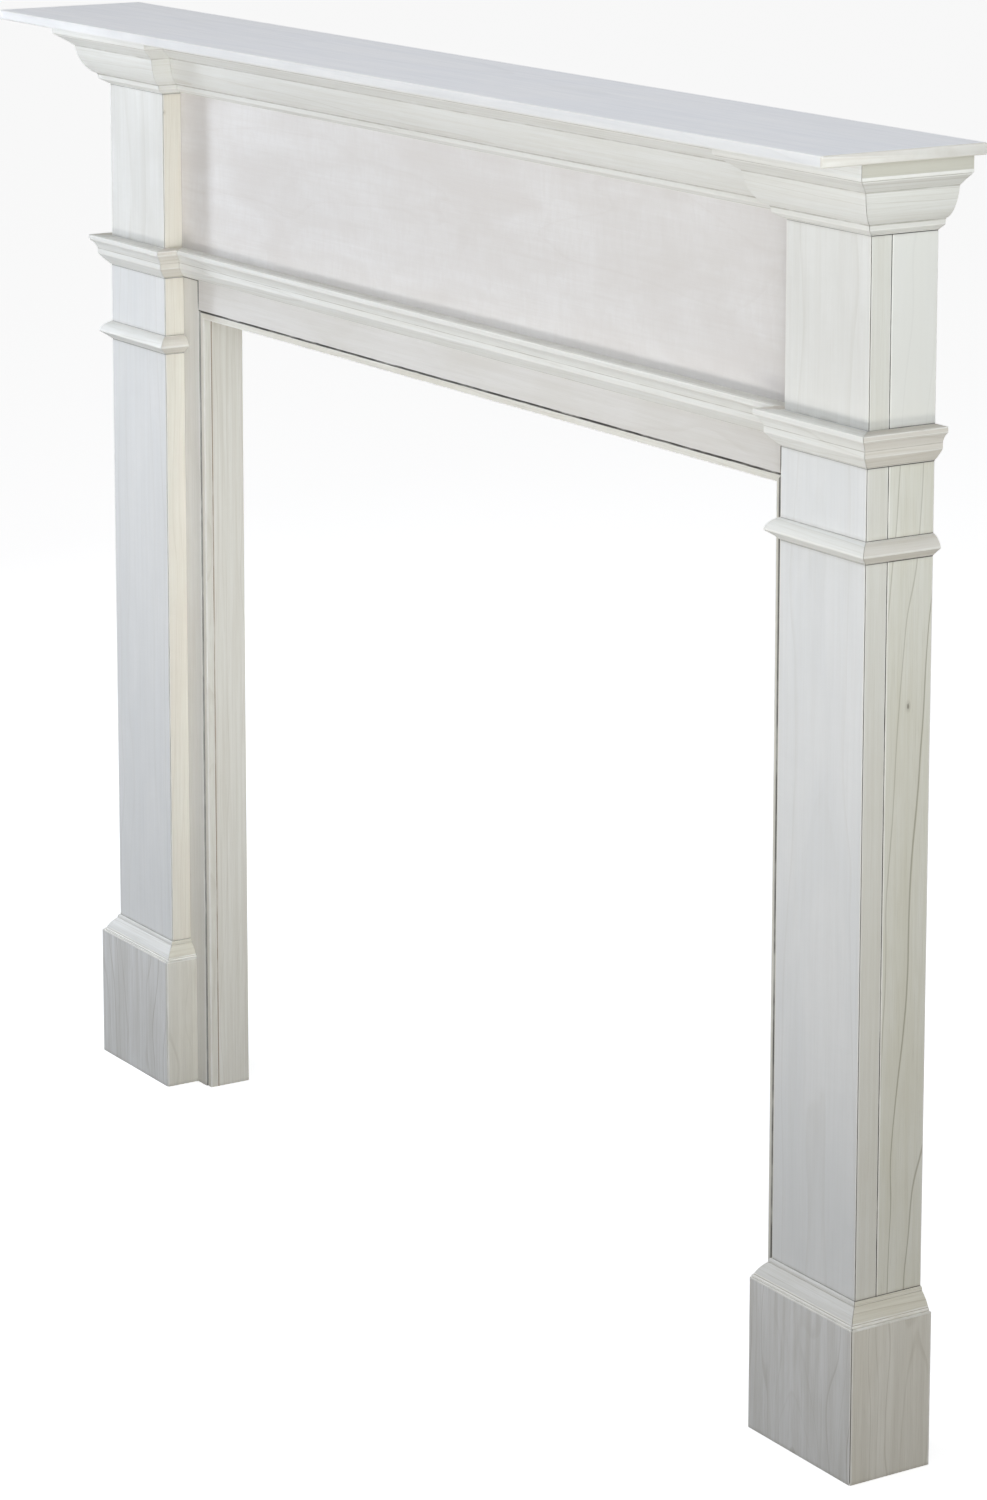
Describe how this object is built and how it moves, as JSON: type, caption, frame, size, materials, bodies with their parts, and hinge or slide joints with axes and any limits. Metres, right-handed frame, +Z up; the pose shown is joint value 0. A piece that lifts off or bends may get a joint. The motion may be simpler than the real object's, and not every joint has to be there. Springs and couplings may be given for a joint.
{
  "type": "fireplace mantelpiece",
  "caption": "Pale wooden fireplace surround: square-edged shelf on broken-out crown moulding, plain frieze, and box pilasters with bands and plinths round an open hearth.",
  "frame": {"origin": "under the middle of the bounding box, on the hearth the mantelpiece stands on", "axes": "+Z up, the front faces -Y and the flat back against the wall faces +Y, +X to the viewer's right seen from the front"},
  "size_m": [1.74, 0.199, 1.372],
  "materials": {
    "shelf_wood": "matte",
    "moulding_wood": "matte",
    "plinth_wood": "matte",
    "pilaster_side_wood": "matte",
    "pilaster_front_wood": "matte",
    "outer_side_wood": "matte",
    "panel_wood": "matte",
    "lining_wood": "matte"
  },
  "bodies": {
    "root": {"block_left_front": "pilaster_front_wood", "block_left_inner": "pilaster_side_wood", "block_left_outer": "pilaster_side_wood", "block_right_front": "pilaster_front_wood", "block_right_inner": "pilaster_side_wood", "block_right_outer": "pilaster_side_wood", "cap_left_front": "moulding_wood", "cap_left_inner": "moulding_wood", "cap_left_outer": "moulding_wood", "cap_right_front": "moulding_wood", "cap_right_inner": "moulding_wood", "cap_right_outer": "moulding_wood", "crown_frieze": "moulding_wood", "crown_left_front": "moulding_wood", "crown_left_inner": "moulding_wood", "crown_left_outer": "moulding_wood", "crown_right_front": "moulding_wood", "crown_right_inner": "moulding_wood", "crown_right_outer": "moulding_wood", "frieze_panel": "panel_wood", "header_board": "panel_wood", "jamb_left": "lining_wood", "jamb_right": "lining_wood", "mid_frieze": "moulding_wood", "mid_left_front": "moulding_wood", "mid_left_inner": "moulding_wood", "mid_left_outer": "moulding_wood", "mid_right_front": "moulding_wood", "mid_right_inner": "moulding_wood", "mid_right_outer": "moulding_wood", "neck_left_front": "moulding_wood", "neck_left_inner": "moulding_wood", "neck_left_outer": "moulding_wood", "neck_right_front": "moulding_wood", "neck_right_inner": "moulding_wood", "neck_right_outer": "moulding_wood", "plinth_left_front": "plinth_wood", "plinth_left_inner": "plinth_wood", "plinth_left_outer": "plinth_wood", "plinth_right_front": "plinth_wood", "plinth_right_inner": "plinth_wood", "plinth_right_outer": "plinth_wood", "shaft_left_front": "pilaster_front_wood", "shaft_left_inner": "pilaster_side_wood", "shaft_left_outer": "pilaster_side_wood", "shaft_right_front": "pilaster_front_wood", "shaft_right_inner": "pilaster_side_wood", "shaft_right_outer": "pilaster_side_wood", "shelf_board": "shelf_wood", "side_left": "outer_side_wood", "side_right": "outer_side_wood", "soffit_board": "lining_wood", "stile_left": "panel_wood", "stile_right": "panel_wood", "trim_head": "lining_wood", "trim_left": "lining_wood", "trim_right": "lining_wood"}
  },
  "joints": []
}
